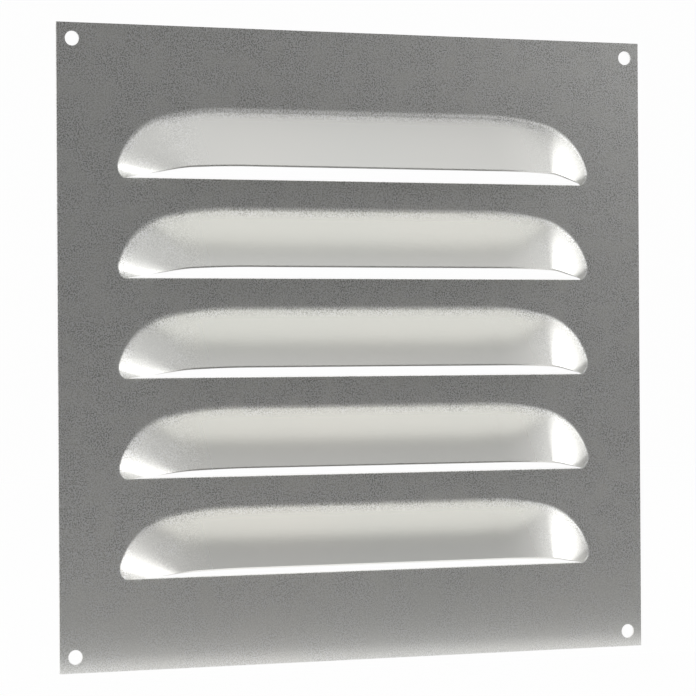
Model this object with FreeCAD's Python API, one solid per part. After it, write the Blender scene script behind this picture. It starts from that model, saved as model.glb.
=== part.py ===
import FreeCAD, Part
import math
import os
from FreeCAD import Vector

# Louvred vent panel: one aluminium sheet, sheared, pierced and pressed. Millimetres.
# X runs along the louvres, Z is up, and the hoods stand out of the front, towards -Y.
# The origin is the centre of the four fixing holes, on the flat back of the sheet.

# Sheet blank
panel_width = 242.0
panel_height = 242.0
sheet_thickness = 0.9
fixing_hole_diameter = 5.5
fixing_hole_pitch = 230.0  # hole to hole, across and up

# Louvres: equal hoods, each pushed out above its own slit
louvre_count = 5
louvre_pitch = 37.6
top_slit_height = 63.5  # highest slit, above the panel's centre

# One hood, measured up from its slit and out from the front of the sheet
hood_height = 27.6  # slit to the root of the top bend
lip_projection = 18.3
lip_rise = 4.5
lip_sag = 0.65  # seen from the end, the lip hangs this far below a straight line from the slit
root_bend_radius = 4.0  # bend where the hood rises out of the flat sheet

# Outline of a hood's end: three arcs, each running smoothly into the next
straight_half_length = 52.0  # middle of the hood to the start of the shoulder
shoulder_radius = 120.0
shoulder_turn = math.radians(12.5)
corner_centre_height = -1.4  # the corner's centre lies just below the slit
heel_start_height = 6.0
heel_end = math.radians(155)  # the heel brings the outline back in to the end of the slit

# Before it is trimmed at the lip, the front skin runs on to this far from the corner's centre
spare_skin = 0.4

thickening_tolerance = 0.0001

corner_radius = (
    hood_height - corner_centre_height - shoulder_radius * (1 - math.cos(shoulder_turn))
) / math.cos(shoulder_turn)
corner_x = straight_half_length + (shoulder_radius - corner_radius) * math.sin(shoulder_turn)
corner_end = math.acos((heel_start_height - corner_centre_height) / corner_radius)
heel_radius = heel_start_height / (math.cos(corner_end) - math.cos(heel_end))
section_depth = corner_radius - spare_skin


def in_front(x, out, up):
    """A point that stands out of the front of the sheet by out, above the slit by up."""
    return Vector(x, -sheet_thickness - out, up)


def hood_section(x, root_up):
    """The front line of the hood, cut upright at x: the root bend, then the straight face.

    The line starts on the flat sheet at root_up, and ends lower by the section's depth.
    """
    bend_to_lip = math.hypot(hood_height - lip_rise, lip_projection - root_bend_radius)
    face_slope = math.atan2(lip_projection - root_bend_radius, hood_height - lip_rise)
    face_slope += math.asin(root_bend_radius / bend_to_lip)

    def on_bend(turn):
        out = root_bend_radius * (1 - math.cos(turn))
        return in_front(x, out, root_up - root_bend_radius * math.sin(turn))

    bend = Part.Arc(on_bend(0), on_bend(face_slope / 2), on_bend(face_slope)).toShape()
    face_start = on_bend(face_slope)
    drop = face_start.z - (root_up - section_depth)
    face_end = face_start + Vector(0, -drop * math.tan(face_slope), -drop)
    return Part.Wire([bend, Part.makeLine(face_start, face_end)])


def shoulder():
    """The skin under the wide arc of the outline: the section turned about the arc's centre."""
    section = hood_section(straight_half_length, hood_height)
    centre = in_front(straight_half_length, 0, hood_height - shoulder_radius)
    return section.revolve(centre, Vector(0, 1, 0), math.degrees(shoulder_turn))


def corner_section():
    """The section at the start of the corner."""
    section = hood_section(corner_x, corner_centre_height + corner_radius)
    centre = in_front(corner_x, 0, corner_centre_height)
    section.rotate(centre, Vector(0, 1, 0), math.degrees(shoulder_turn))
    return section


def corner():
    """The skin under the rounder arc, from the shoulder down to the heel."""
    centre = in_front(corner_x, 0, corner_centre_height)
    return corner_section().revolve(
        centre, Vector(0, 1, 0), math.degrees(corner_end - shoulder_turn)
    )


def heel():
    """The skin below a corner: its last section, carried down and in round the heel."""
    corner_centre = in_front(corner_x, 0, corner_centre_height)
    section = corner_section()
    section.rotate(corner_centre, Vector(0, 1, 0), math.degrees(corner_end - shoulder_turn))

    to_heel_centre = corner_radius - heel_radius
    centre_x = corner_x + to_heel_centre * math.sin(corner_end)
    centre_up = corner_centre_height + to_heel_centre * math.cos(corner_end)

    def on_outline(angle):
        along = heel_radius * math.sin(angle)
        return in_front(centre_x + along, 0, centre_up + heel_radius * math.cos(angle))

    middle = (corner_end + heel_end) / 2
    outline = Part.Arc(on_outline(corner_end), on_outline(middle), on_outline(heel_end))
    sweep = Part.BRepOffsetAPI.MakePipeShell(Part.Wire([outline.toShape()]))
    sweep.setTrihedronMode(Vector(0, 0, 0), Vector(0, 1, 0))
    sweep.add(section)
    sweep.build()
    return sweep.shape()


def space_above_lip():
    """The space over the surface that curves out from the slit to the lip, and past it."""
    reach = 2.0
    x = -panel_width
    slit = in_front(x, 0, 0)
    lip = in_front(x, lip_projection, lip_rise)
    halfway = in_front(x, lip_projection / 2, lip_rise / 2 - lip_sag)
    past_lip = in_front(x, reach * lip_projection, reach * lip_rise)
    above_lip = in_front(x, reach * lip_projection, reach * hood_height)
    above_slit = Vector(x, 0, reach * hood_height)
    behind_slit = Vector(x, 0, 0)
    lip_line = Part.Arc(slit, halfway, lip).toShape()
    rest = Part.makePolygon([lip, past_lip, above_lip, above_slit, behind_slit, slit])
    side = Part.Face(Part.Wire([lip_line, *rest.Edges]))
    return side.extrude(Vector(2 * panel_width, 0, 0))


def hood_front_skin():
    """The whole front surface of one hood, trimmed at the lip."""
    section = hood_section(-straight_half_length, hood_height)
    middle = section.extrude(Vector(2 * straight_half_length, 0, 0))
    right = [shoulder(), corner(), heel()]
    left = [skin.mirror(Vector(0, 0, 0), Vector(1, 0, 0)) for skin in right]
    kept = space_above_lip()
    trimmed = [skin.common(kept) for skin in [middle, *right, *left]]
    skin = Part.makeShell([face for piece in trimmed for face in piece.Faces])
    skin.sewShape()
    return skin


def thickened(skin):
    """The solid between the front skin and its parallel, one sheet thickness behind it."""
    solid = skin.makeOffsetShape(
        sheet_thickness, thickening_tolerance, False, False, 0, 0, True
    )
    return Part.Solid(solid.Shells[0])


def mouth_opening(skin):
    """The hole that one louvre leaves in the flat sheet: the hood's outline and its slit."""
    front_y = -sheet_thickness
    outline = [
        edge
        for edge in skin.Edges
        if max(abs(edge.BoundBox.YMin - front_y), abs(edge.BoundBox.YMax - front_y)) < 0.001
    ]
    half_slit = max(vertex.X for edge in outline for vertex in edge.Vertexes if vertex.Z < 0.001)
    slit = Part.makeLine(in_front(-half_slit, 0, 0), in_front(half_slit, 0, 0))
    closed_outline = Part.Wire(Part.__sortEdges__([*outline, slit]))
    return Part.Face(closed_outline).extrude(Vector(0, sheet_thickness, 0))


def pierced_blank():
    """The flat sheet with a fixing hole in each corner."""
    corner = Vector(-panel_width / 2, -sheet_thickness, -panel_height / 2)
    blank = Part.makeBox(panel_width, sheet_thickness, panel_height, corner)
    for side in (-1, 1):
        for end in (-1, 1):
            x = side * fixing_hole_pitch / 2
            z = end * fixing_hole_pitch / 2
            hole = Part.makeCylinder(
                fixing_hole_diameter / 2,
                sheet_thickness,
                Vector(x, 0, z),
                Vector(0, -1, 0),
            )
            blank = blank.cut(hole)
    return blank


def louvred_panel():
    """The blank with a row of louvres pressed out of it, as one solid."""
    skin = hood_front_skin()
    hood = thickened(skin)
    opening = mouth_opening(skin)
    places = [Vector(0, 0, top_slit_height - louvre_pitch * row) for row in range(louvre_count)]
    flat = pierced_blank().cut([opening.translated(place) for place in places])
    panel = flat.fuse([hood.translated(place) for place in places])
    return panel.Solids[0]


os.makedirs("parts", exist_ok=True)
panel = louvred_panel()
panel.exportStep("parts/louvre_panel.step")
print("louvre_panel valid:", panel.isValid(), "volume mm3:", round(panel.Volume))
print("faces:", len(panel.Faces), "size:", panel.BoundBox)
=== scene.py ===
import math

import bmesh
import bpy
from mathutils import Matrix, Vector


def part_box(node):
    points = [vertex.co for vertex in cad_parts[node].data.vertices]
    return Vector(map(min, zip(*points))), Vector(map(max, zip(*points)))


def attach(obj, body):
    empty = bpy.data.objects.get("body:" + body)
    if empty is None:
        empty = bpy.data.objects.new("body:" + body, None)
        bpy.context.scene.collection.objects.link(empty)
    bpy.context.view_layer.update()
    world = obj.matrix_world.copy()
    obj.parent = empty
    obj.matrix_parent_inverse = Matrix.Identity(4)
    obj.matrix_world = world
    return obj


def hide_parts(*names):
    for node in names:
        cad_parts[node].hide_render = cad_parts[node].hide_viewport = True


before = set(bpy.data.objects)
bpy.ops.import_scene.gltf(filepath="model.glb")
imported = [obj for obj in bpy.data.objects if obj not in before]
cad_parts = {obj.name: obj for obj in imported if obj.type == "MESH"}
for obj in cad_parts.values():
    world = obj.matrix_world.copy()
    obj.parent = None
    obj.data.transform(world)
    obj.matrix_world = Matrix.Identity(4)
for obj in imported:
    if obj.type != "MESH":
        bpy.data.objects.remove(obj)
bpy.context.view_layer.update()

# A louvred vent panel, stamped from one aluminium sheet. Metres.
# X runs along the louvres, Z is up, and the hoods stand out of the front, towards -Y.
MM = 0.001

# The sheet, with its outline and the hoods' reach taken from the CAD part
panel_low, panel_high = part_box("louvre_panel")
sheet_thickness = 0.9 * MM
front_y = panel_high.y - sheet_thickness
fixing_hole_radius = 5.5 / 2 * MM
fixing_hole_pitch = 230.0 * MM
sheared_edge_width = 0.12 * MM
sheared_edge_angle = math.radians(50)

louvre_count = 5
louvre_pitch = 37.6 * MM
top_slit_height = 63.5 * MM

# One hood, measured up from its slit and out from the front of the sheet
hood_height = 27.6 * MM
lip_projection = front_y - panel_low.y
lip_rise = 4.5 * MM
lip_sag = 0.65 * MM
root_bend_radius = 4.0 * MM
heel_bend_radius = 1.4 * MM  # the bend grows tighter down the corner, as far as the heel

# Outline of a hood's end: three arcs, each running smoothly into the next
straight_half_length = 52.0 * MM
shoulder_radius = 120.0 * MM
shoulder_turn = math.radians(12.5)
corner_centre_height = -1.4 * MM
heel_start_height = 6.0 * MM
heel_end = math.radians(155)
spare_skin = 0.4 * MM
corner_radius = (
    hood_height - corner_centre_height - shoulder_radius * (1 - math.cos(shoulder_turn))
) / math.cos(shoulder_turn)
corner_x = straight_half_length + (shoulder_radius - corner_radius) * math.sin(shoulder_turn)
corner_end = math.acos((heel_start_height - corner_centre_height) / corner_radius)
heel_radius = heel_start_height / (math.cos(corner_end) - math.cos(heel_end))
section_depth = corner_radius - spare_skin

# How finely the curves are divided
bend_steps = 8
shoulder_steps = 10
corner_steps = 24
heel_steps = 12
lip_steps = 12
hole_steps = 48
sheared_edge_steps = 2

merge_distance = 0.001 * MM
angle_slack = 0.001

upright = Matrix.Rotation(math.pi / 2, 4, "X")  # stands a level shape up, along the panel


# ---------------------------------------------------------------- small helpers


def verts_in(geom):
    """The vertices among the parts that a bmesh operator gives back."""
    return [item for item in geom if isinstance(item, bmesh.types.BMVert)]


def edges_in(geom):
    """The edges among the parts that a bmesh operator gives back."""
    return [item for item in geom if isinstance(item, bmesh.types.BMEdge)]


def everything(bm):
    """All that a bmesh holds, as its operators take it."""
    return [*bm.verts, *bm.edges, *bm.faces]


def put_in_scene(name, data):
    """A new object of that name in the scene, with a mesh, lamp or camera as its data."""
    made = bpy.data.objects.new(name, data)
    bpy.context.scene.collection.objects.link(made)
    return made


def mesh_object(name, bm):
    """Turns a finished bmesh into an object of that name."""
    mesh = bpy.data.meshes.new(name)
    bm.to_mesh(mesh)
    bm.free()
    return put_in_scene(name, mesh)


# ---------------------------------------------------------------- one pressed hood


def in_front(x, out, up):
    """A point that stands out of the front of the sheet by out, above the slit by up."""
    return Vector((x, front_y - out, up))


def face_slope(bend_radius):
    """How far the hood's straight face leans out from the sheet, as an angle."""
    rise = hood_height - lip_rise
    reach = lip_projection - bend_radius
    return math.atan2(reach, rise) + math.asin(bend_radius / math.hypot(rise, reach))


def hood_section(bm):
    """A chain of edges at the shoulder's start: the root bend, then the straight face."""
    slope = face_slope(root_bend_radius)
    root = bm.verts.new(in_front(straight_half_length, 0, hood_height))
    bend = bmesh.ops.spin(
        bm,
        geom=[root],
        cent=in_front(straight_half_length, root_bend_radius, hood_height),
        axis=(1, 0, 0),
        angle=-slope,
        steps=bend_steps,
        use_duplicate=False,
    )
    face_start = verts_in(bend["geom_last"])[0]
    drop = face_start.co.z - (hood_height - section_depth)
    face_end = bmesh.ops.extrude_vert_indiv(bm, verts=[face_start])["verts"][0]
    face_end.co += Vector((0, -drop * math.tan(slope), -drop))
    return list(bm.edges)


def turned(bm, edges, centre, angle, steps):
    """Turns a chain of edges about an axis through the sheet, and gives the chain at the end."""
    verts = dict.fromkeys(vert for edge in edges for vert in edge.verts)
    spun = bmesh.ops.spin(
        bm,
        geom=[*verts, *edges],
        cent=centre,
        axis=(0, 1, 0),
        angle=angle,
        steps=steps,
        use_duplicate=False,
    )
    return edges_in(spun["geom_last"])


def moved_copy(bm, edges, shift):
    """Extrudes a chain of edges by shift, and gives the new chain."""
    made = bmesh.ops.extrude_edge_only(bm, edges=edges)["geom"]
    verts = verts_in(made)
    bmesh.ops.translate(bm, verts=verts, vec=shift)
    return [edge for edge in edges_in(made)
            if not edge.is_wire and all(vert in verts for vert in edge.verts)]


def place_on_arc(point, centre_x, centre_height, radius):
    """A point's angle round an arc's centre, and how far inside the arc it lies."""
    across = point.x - centre_x
    up = point.z - centre_height
    return math.atan2(across, up), radius - math.hypot(across, up)


def place_on_hood(point):
    """How far a point has turned round the hood's end, and how far inside the outline it lies."""
    if point.x <= straight_half_length + merge_distance:
        return 0.0, hood_height - point.z
    angle, inward = place_on_arc(
        point, straight_half_length, hood_height - shoulder_radius, shoulder_radius
    )
    if angle >= shoulder_turn + angle_slack:
        angle, inward = place_on_arc(point, corner_x, corner_centre_height, corner_radius)
    return angle, inward


def skin_projection(inward, bend_radius):
    """How far the skin stands out of the sheet, at that distance inside the outline."""
    slope = face_slope(bend_radius)
    bend_depth = bend_radius * math.sin(slope)
    on_bend = min(max(inward, 0.0), bend_depth)
    out = bend_radius - math.sqrt(bend_radius**2 - on_bend**2)
    return out + max(inward - bend_depth, 0.0) * math.tan(slope)


def tighten_bend(bm):
    """Makes the root bend grow tighter, from the shoulder's start to the corner's end."""
    for vert in bm.verts:
        angle, inward = place_on_hood(vert.co)
        share = angle / corner_end
        share = share * share * (3 - 2 * share)  # starts and ends gently
        bend_radius = root_bend_radius + (heel_bend_radius - root_bend_radius) * share
        vert.co.y = front_y - skin_projection(inward, bend_radius)


def add_heel(bm, edges):
    """Carries the corner's last chain down and in round the heel, to the end of the slit."""

    def on_outline(angle):
        return heel_radius * Vector((math.sin(angle), 0, math.cos(angle)))

    at = on_outline(corner_end)
    for step in range(1, heel_steps + 1):
        there = on_outline(corner_end + (heel_end - corner_end) * step / heel_steps)
        edges = moved_copy(bm, edges, there - at)
        at = there


def trim_at_lip(bm):
    """Cuts the skin along the lip: an arc, seen from the hood's end, that starts at the slit.

    A row of flat cuts follows the arc. Each one touches it at a single point.
    """
    span = math.hypot(lip_projection, lip_rise)
    sag = lip_sag * lip_projection / span
    arc_radius = (span / 2) ** 2 / (2 * sag) + sag / 2
    half_turn = math.asin(span / 2 / arc_radius)
    chord_turn = math.atan2(lip_rise, lip_projection)

    def across_lip(turn):
        return Vector((0, math.sin(turn), math.cos(turn)))

    chord_middle = in_front(0, lip_projection / 2, lip_rise / 2)
    centre = chord_middle + across_lip(chord_turn) * (arc_radius - sag)
    for step in range(lip_steps + 1):
        upward = across_lip(chord_turn + half_turn * (2 * step / lip_steps - 1))
        bmesh.ops.bisect_plane(
            bm,
            geom=everything(bm),
            dist=merge_distance,
            plane_co=centre - upward * arc_radius,
            plane_no=upward,
            clear_inner=True,
        )


def press_hood(bm):
    """The front skin of one hood, with its slit at Z = 0, trimmed along its lip."""
    section = hood_section(bm)
    moved_copy(bm, section, Vector((-straight_half_length, 0, 0)))
    shoulder_centre = in_front(straight_half_length, 0, hood_height - shoulder_radius)
    corner_centre = in_front(corner_x, 0, corner_centre_height)
    section = turned(bm, section, shoulder_centre, shoulder_turn, shoulder_steps)
    section = turned(bm, section, corner_centre, corner_end - shoulder_turn, corner_steps)
    tighten_bend(bm)
    add_heel(bm, section)
    trim_at_lip(bm)
    bmesh.ops.mirror(
        bm,
        geom=everything(bm),
        matrix=Matrix.Identity(4),
        merge_dist=merge_distance,
        axis="X",
    )
    bmesh.ops.remove_doubles(bm, verts=bm.verts, dist=merge_distance)


# ---------------------------------------------------------------- the whole sheet


def on_sheet(edge):
    """True for an edge that lies in the flat front of the sheet."""
    return all(abs(vert.co.y - front_y) < merge_distance for vert in edge.verts)


def cut_slit(bm):
    """Joins the two ends of the hood's outline along the slit."""
    at_slit = [vert for edge in bm.edges if on_sheet(edge) for vert in edge.verts
               if abs(vert.co.z) < merge_distance]
    left_end = min(at_slit, key=lambda vert: vert.co.x)
    right_end = max(at_slit, key=lambda vert: vert.co.x)
    bm.edges.new((left_end, right_end))


def louvre_row(bm):
    """The top louvre, and copies of it down the panel."""
    press_hood(bm)
    cut_slit(bm)
    bmesh.ops.translate(bm, verts=bm.verts, vec=(0, 0, top_slit_height))
    first = everything(bm)
    for row in range(1, louvre_count):
        verts = verts_in(bmesh.ops.duplicate(bm, geom=first)["geom"])
        bmesh.ops.translate(bm, verts=verts, vec=(0, 0, -louvre_pitch * row))


def blank_outline(bm):
    """The edges of the blank and of its four fixing holes, with nothing filled in."""
    middle = Vector((0, front_y, (panel_low.z + panel_high.z) / 2))
    size = panel_high - panel_low
    blank = bmesh.ops.create_grid(
        bm,
        x_segments=1,
        y_segments=1,
        size=0.5,
        matrix=Matrix.Translation(middle) @ upright @ Matrix.Diagonal((size.x, size.z, 1, 1)),
    )
    blank_faces = {face for vert in blank["verts"] for face in vert.link_faces}
    bmesh.ops.delete(bm, geom=list(blank_faces), context="FACES_ONLY")
    for side in (-1, 1):
        for end in (-1, 1):
            hole = Vector((side * fixing_hole_pitch / 2, 0, end * fixing_hole_pitch / 2))
            bmesh.ops.create_circle(
                bm,
                segments=hole_steps,
                radius=fixing_hole_radius,
                matrix=Matrix.Translation(middle + hole) @ upright,
            )


def fill_sheet(bm):
    """Fills the flat metal between the outer edges, the holes and the louvres."""
    flat_edges = [edge for edge in bm.edges if on_sheet(edge)]
    for edge in flat_edges:
        edge.smooth = False
    bmesh.ops.triangle_fill(bm, use_beauty=True, edges=flat_edges, normal=(0, -1, 0))
    bmesh.ops.recalc_face_normals(bm, faces=bm.faces)
    widest = max(bm.faces, key=lambda face: face.calc_area())
    if widest.normal.y > 0:
        bmesh.ops.reverse_faces(bm, faces=bm.faces)
    for face in bm.faces:
        face.smooth = True


def make_panel():
    """The stamped sheet at its full thickness, with its sheared edges slightly rounded."""
    bm = bmesh.new()
    louvre_row(bm)
    blank_outline(bm)
    fill_sheet(bm)
    panel = mesh_object("stamped_sheet", bm)

    wall = panel.modifiers.new("sheet thickness", "SOLIDIFY")
    wall.thickness = sheet_thickness
    wall.offset = -1
    wall.use_even_offset = True
    wall.use_quality_normals = True

    eased = panel.modifiers.new("sheared edges", "BEVEL")
    eased.width = sheared_edge_width
    eased.segments = sheared_edge_steps
    eased.limit_method = "ANGLE"
    eased.angle_limit = sheared_edge_angle
    eased.harden_normals = True
    return panel


# ---------------------------------------------------------------- shader nodes


def feed(tree, socket, value):
    """Gives an input the output of another node, or a plain number or colour."""
    if isinstance(value, bpy.types.NodeSocket):
        tree.links.new(value, socket)
    else:
        socket.default_value = value


def add_node(tree, kind, inputs=None, **settings):
    """Adds a node of that kind, with its settings and what its inputs are fed."""
    node = tree.nodes.new(kind)
    for name, value in settings.items():
        setattr(node, name, value)
    for name, value in (inputs or {}).items():
        feed(tree, node.inputs[name], value)
    return node


def spread(tree, value, low, high, to_low=0.0, to_high=1.0):
    """The value moved from between low and high to between to_low and to_high."""
    ends = {"From Min": low, "From Max": high, "To Min": to_low, "To Max": to_high}
    return add_node(tree, "ShaderNodeMapRange", {"Value": value, **ends}).outputs["Result"]


def calculated(tree, operation, first, second=0.0):
    """The result of a Math node on one or two values, each a socket or a number."""
    inputs = {0: first, 1: second}
    return add_node(tree, "ShaderNodeMath", inputs, operation=operation).outputs["Value"]


def mixed_colour(tree, factor, first, second, blend_type="MIX"):
    """The result of a Mix node on two colours, which are its inputs 6 and 7 and its output 2."""
    inputs = {"Factor": factor, 6: first, 7: second}
    settings = {"data_type": "RGBA", "blend_type": blend_type}
    return add_node(tree, "ShaderNodeMix", inputs, **settings).outputs[2]


def new_group(name, inputs, outputs):
    """An empty shader node group with those named sockets, and its two end nodes."""
    group = bpy.data.node_groups.new(name, "ShaderNodeTree")
    for in_out, sockets in (("INPUT", inputs), ("OUTPUT", outputs)):
        for socket_name, kind, default in sockets:
            socket = group.interface.new_socket(
                name=socket_name, in_out=in_out, socket_type=kind
            )
            if default is not None:
                socket.default_value = default
    return group, group.nodes.new("NodeGroupInput"), group.nodes.new("NodeGroupOutput")


# ---------------------------------------------------------------- the metal

# The rolled grain: each layer's name, its features to the metre and its detail
grain_layers = (
    ("Speckle", 2100.0, 1.0),
    ("Patches", 90.0, 2.0),
    ("Drift", 9.0, 3.0),
)
# The speckle's dark specks are pits; its light specks are painted glints, pushed past full white.
grain_and_glint_contrast = 1.4
pit_depth = 0.03 * MM
pit_strength = 0.5

# The metal's colour drifts between these two
cool_metal = (0.87, 0.875, 0.845, 1.0)
warm_metal = (0.90, 0.89, 0.855, 1.0)
sheet_roughness = 0.38
burnished_roughness = 0.27

# The press smooths the metal as it draws it out of the sheet, most of all near the middle
drawing_starts = 0.3 * MM
fully_drawn = 3.0 * MM
burnished_half_length = 66.0 * MM
burnish_ends = 90.0 * MM
grain_lost_when_drawn = 0.75

# The grain fades towards the bottom of the sheet
fade_starts = -75.0 * MM
fade_ends = -100.0 * MM
faded_grain = 0.4


def rolled_grain_group():
    """The fine speckle of rolled sheet: pits and painted glints, patches, and slow drifts of
    tone.
    """
    scales = [(f"{name} per metre", "NodeSocketFloat", scale) for name, scale, _ in grain_layers]
    group, given, result = new_group(
        "rolled grain",
        [("Vector", "NodeSocketVector", None), *scales],
        [(name, "NodeSocketFloat", None) for name, _, _ in grain_layers],
    )
    for name, _, detail in grain_layers:
        inputs = {
            "Vector": given.outputs["Vector"],
            "Scale": given.outputs[f"{name} per metre"],
            "Detail": detail,
        }
        texture = add_node(group, "ShaderNodeTexNoise", inputs)
        feed(group, result.inputs[name], texture.outputs["Fac"])
    return group


def burnish(tree, parts):
    """How far the metal is burnished at a place, and how much of its grain is left there."""
    drawn = spread(tree, parts["Y"], front_y - drawing_starts, front_y - fully_drawn)
    sideways = calculated(tree, "ABSOLUTE", parts["X"])
    near_middle = spread(tree, sideways, burnish_ends, burnished_half_length)
    burnished = calculated(tree, "MULTIPLY", drawn, near_middle)
    smoothed = calculated(tree, "MULTIPLY", drawn, grain_lost_when_drawn)
    grain_lost = calculated(tree, "MAXIMUM", burnished, smoothed)
    return burnished, calculated(tree, "SUBTRACT", 1.0, grain_lost)


def sheet_aluminium(grain):
    """Mill-finish aluminium: grainy where it is flat, with painted glints in its speckle,
    smoother where the press drew it out.
    """
    material = bpy.data.materials.new("mill finish aluminium")
    material.use_nodes = True
    tree = material.node_tree
    shader = tree.nodes["Principled BSDF"].inputs
    shader["Metallic"].default_value = 1.0

    place = add_node(tree, "ShaderNodeTexCoord").outputs["Object"]
    layers = add_node(tree, "ShaderNodeGroup", node_tree=grain)
    feed(tree, layers.inputs["Vector"], place)
    speckle = spread(tree, layers.outputs["Speckle"], 0.4, 0.72, -0.3, 0.7)
    patches = spread(tree, layers.outputs["Patches"], 0.35, 0.6, 0.35, 1.0)
    drift = spread(tree, layers.outputs["Drift"], 0.3, 0.7)

    parts = add_node(tree, "ShaderNodeSeparateXYZ", {"Vector": place}).outputs
    burnished, grain_left = burnish(tree, parts)
    fading = spread(tree, parts["Z"], fade_starts, fade_ends, 1.0, faded_grain)
    grain_amount = calculated(tree, "MULTIPLY", patches, fading)
    grain_amount = calculated(tree, "MULTIPLY", grain_amount, grain_left)
    grain_and_painted_glints = calculated(tree, "MULTIPLY", speckle, grain_amount)

    # Painted glints: the speckle lightens the base colour in specks, to nearly twice full white,
    # and darkens it at the pits.
    level = calculated(tree, "MULTIPLY", grain_and_painted_glints, grain_and_glint_contrast)
    level = calculated(tree, "ADD", level, 1.0)
    level_channels = {"Red": level, "Green": level, "Blue": level}
    painted_glints_and_grain_tone = add_node(tree, "ShaderNodeCombineColor", level_channels).outputs["Color"]
    tint = mixed_colour(tree, drift, cool_metal, warm_metal)
    feed(tree, shader["Base Color"], mixed_colour(tree, 1.0, tint, painted_glints_and_grain_tone, "MULTIPLY"))

    roughness = spread(tree, burnished, 0.0, 1.0, sheet_roughness, burnished_roughness)
    feed(tree, shader["Roughness"], roughness)

    strength = calculated(tree, "MULTIPLY", grain_amount, pit_strength)
    pits = {"Strength": strength, "Distance": pit_depth, "Height": speckle}
    feed(tree, shader["Normal"], add_node(tree, "ShaderNodeBump", pits).outputs["Normal"])
    return material


# ---------------------------------------------------------------- the studio

# A white plinth under the panel and a white backdrop behind it, with a pale floor in front
stage_width = 8.0
plinth_front = -0.03
plinth_back = 1.5
plinth_height = 0.12
floor_depth = 0.6
backdrop_height = 8.0

# Each softbox: its name, its place, the length of its sides and its power in watts
softboxes = (
    ("left softbox", (-0.75, -0.42, 0.03), 0.6, 1.8),
    ("right softbox", (1.1, 0.1, 0.45), 0.9, 3.8),
    ("front softbox", (0.65, -0.45, 0.35), 0.5, 0.5),
)

# The room's light, by the direction it comes from. It is dim in front of the panel and white
# from just in front of it backwards. The dim part leans to the right by room_lean.
room_lean = 0.2
dim_from = -0.36
white_from = -0.07
dim_level = 0.04
white_level = 1.0
slanting_level = 0.75  # what the front gains, high up or low down

# The camera stands to the left of the panel's front, level with it. The lens is in millimetres.
lens_length = 146.0
sensor_width = 36.0
camera_distance = 1.0889
camera_swing = math.radians(21.82)
camera_roll = math.radians(-0.345)
camera_aim = Vector((-5.3 * MM, front_y, -0.7 * MM))


def plain_material(name, colour, white_to_camera):
    """A matt pale finish that looks white to the camera, to glossy surfaces and through glass.

    white_to_camera is how much of it is plain white there. The rest still takes shadows.
    """
    material = bpy.data.materials.new(name)
    material.use_nodes = True
    tree = material.node_tree
    tree.nodes.clear()
    matt = add_node(tree, "ShaderNodeBsdfDiffuse", {"Color": (*colour, 1.0)})
    white = add_node(tree, "ShaderNodeEmission", {"Color": (1, 1, 1, 1), "Strength": 1.0})
    rays = add_node(tree, "ShaderNodeLightPath").outputs
    seen = rays["Is Camera Ray"]
    for ray in ("Is Glossy Ray", "Is Transmission Ray"):
        seen = calculated(tree, "MAXIMUM", seen, rays[ray])
    amount = calculated(tree, "MULTIPLY", seen, white_to_camera)
    shaders = {"Fac": amount, 1: matt.outputs["BSDF"], 2: white.outputs["Emission"]}
    mixed = add_node(tree, "ShaderNodeMixShader", shaders).outputs["Shader"]
    add_node(tree, "ShaderNodeOutputMaterial", {"Surface": mixed})
    return material


def stage_sheet(name, material, place, width, depth, turn=Matrix.Identity(4)):
    """A flat rectangle that belongs to the studio. It lies level unless it is turned upright."""
    bm = bmesh.new()
    matrix = Matrix.Translation(place) @ turn @ Matrix.Diagonal((width, depth, 1, 1))
    bmesh.ops.create_grid(bm, x_segments=1, y_segments=1, size=0.5, matrix=matrix)
    sheet = mesh_object(name, bm)
    sheet.data.materials.append(material)


def build_stage():
    """The plinth that the panel stands on, the floor before it and the backdrop behind it."""
    white = plain_material("studio white", (0.9, 0.9, 0.9), 0.98)
    pale = plain_material("pale floor", (0.8, 0.8, 0.8), 0.0)
    plinth_depth = plinth_back - plinth_front
    top = Vector((0, plinth_front + plinth_depth / 2, panel_low.z))
    apron = Vector((0, plinth_front, panel_low.z - plinth_height / 2))
    floor = Vector((0, plinth_front - floor_depth / 2, panel_low.z - plinth_height))
    backdrop = Vector((0, plinth_back, 0))
    stage_sheet("plinth_top", white, top, stage_width, plinth_depth)
    stage_sheet("plinth_front", white, apron, stage_width, plinth_height, upright)
    stage_sheet("floor", pale, floor, stage_width, floor_depth)
    stage_sheet("backdrop", white, backdrop, stage_width, backdrop_height, upright)


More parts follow.
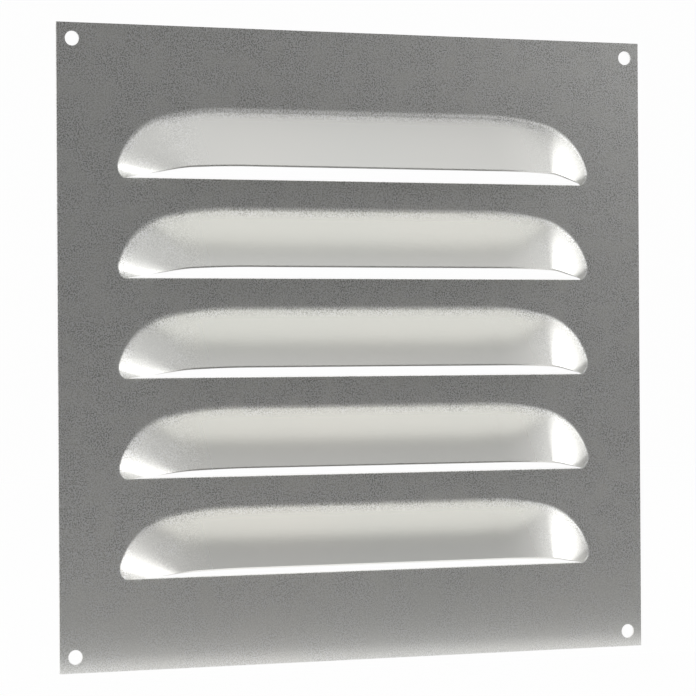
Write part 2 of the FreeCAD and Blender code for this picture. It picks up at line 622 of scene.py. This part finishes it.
def softbox(name, place, side, power):
    """A square lamp at place, turned towards the middle of the panel."""
    lamp = bpy.data.lights.new(name, "AREA")
    lamp.shape = "SQUARE"
    lamp.size = side
    lamp.energy = power
    holder = put_in_scene(name, lamp)
    holder.location = place
    holder.rotation_euler = (-Vector(place)).to_track_quat("-Z", "Y").to_euler()


def room_world():
    """The room's own light: white behind the panel, dimmest straight in front of it."""
    world = bpy.data.worlds.new("room")
    world.use_nodes = True
    tree = world.node_tree
    direction = add_node(tree, "ShaderNodeTexCoord").outputs["Generated"]
    parts = add_node(tree, "ShaderNodeSeparateXYZ", {"Vector": direction}).outputs
    sideways = calculated(tree, "MULTIPLY", parts["X"], room_lean)
    backward = calculated(tree, "SUBTRACT", parts["Y"], sideways)
    behind = spread(tree, backward, dim_from, white_from, dim_level, white_level)
    forward = calculated(tree, "MULTIPLY", parts["Y"], -1.0)
    forward = calculated(tree, "MAXIMUM", forward, 0.0)
    slanting = calculated(tree, "ABSOLUTE", parts["Z"])
    slanting = calculated(tree, "MULTIPLY", slanting, forward)
    slanting = calculated(tree, "MULTIPLY", slanting, slanting_level)
    background = tree.nodes["Background"].inputs
    background["Color"].default_value = (1, 1, 1, 1)
    feed(tree, background["Strength"], calculated(tree, "ADD", behind, slanting))
    return world


def add_camera():
    """A long lens, level with the panel's middle, from the left of its front."""
    camera = bpy.data.cameras.new("camera")
    camera.sensor_width = sensor_width
    camera.lens = lens_length
    back = Vector((-math.sin(camera_swing), -math.cos(camera_swing), 0))
    look = (-back).to_track_quat("-Z", "Y").to_matrix().to_4x4()
    roll = Matrix.Rotation(camera_roll, 4, "Z")
    holder = put_in_scene("camera", camera)
    holder.matrix_world = Matrix.Translation(camera_aim + back * camera_distance) @ look @ roll
    bpy.context.scene.camera = holder


# ---------------------------------------------------------------- assembly

panel = make_panel()
panel.data.materials.append(sheet_aluminium(rolled_grain_group()))
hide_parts("louvre_panel")
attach(panel, "root")

add_camera()
build_stage()
bpy.context.scene.world = room_world()
for name, place, side, power in softboxes:
    softbox(name, place, side, power)
bpy.context.scene.view_settings.view_transform = "Standard"
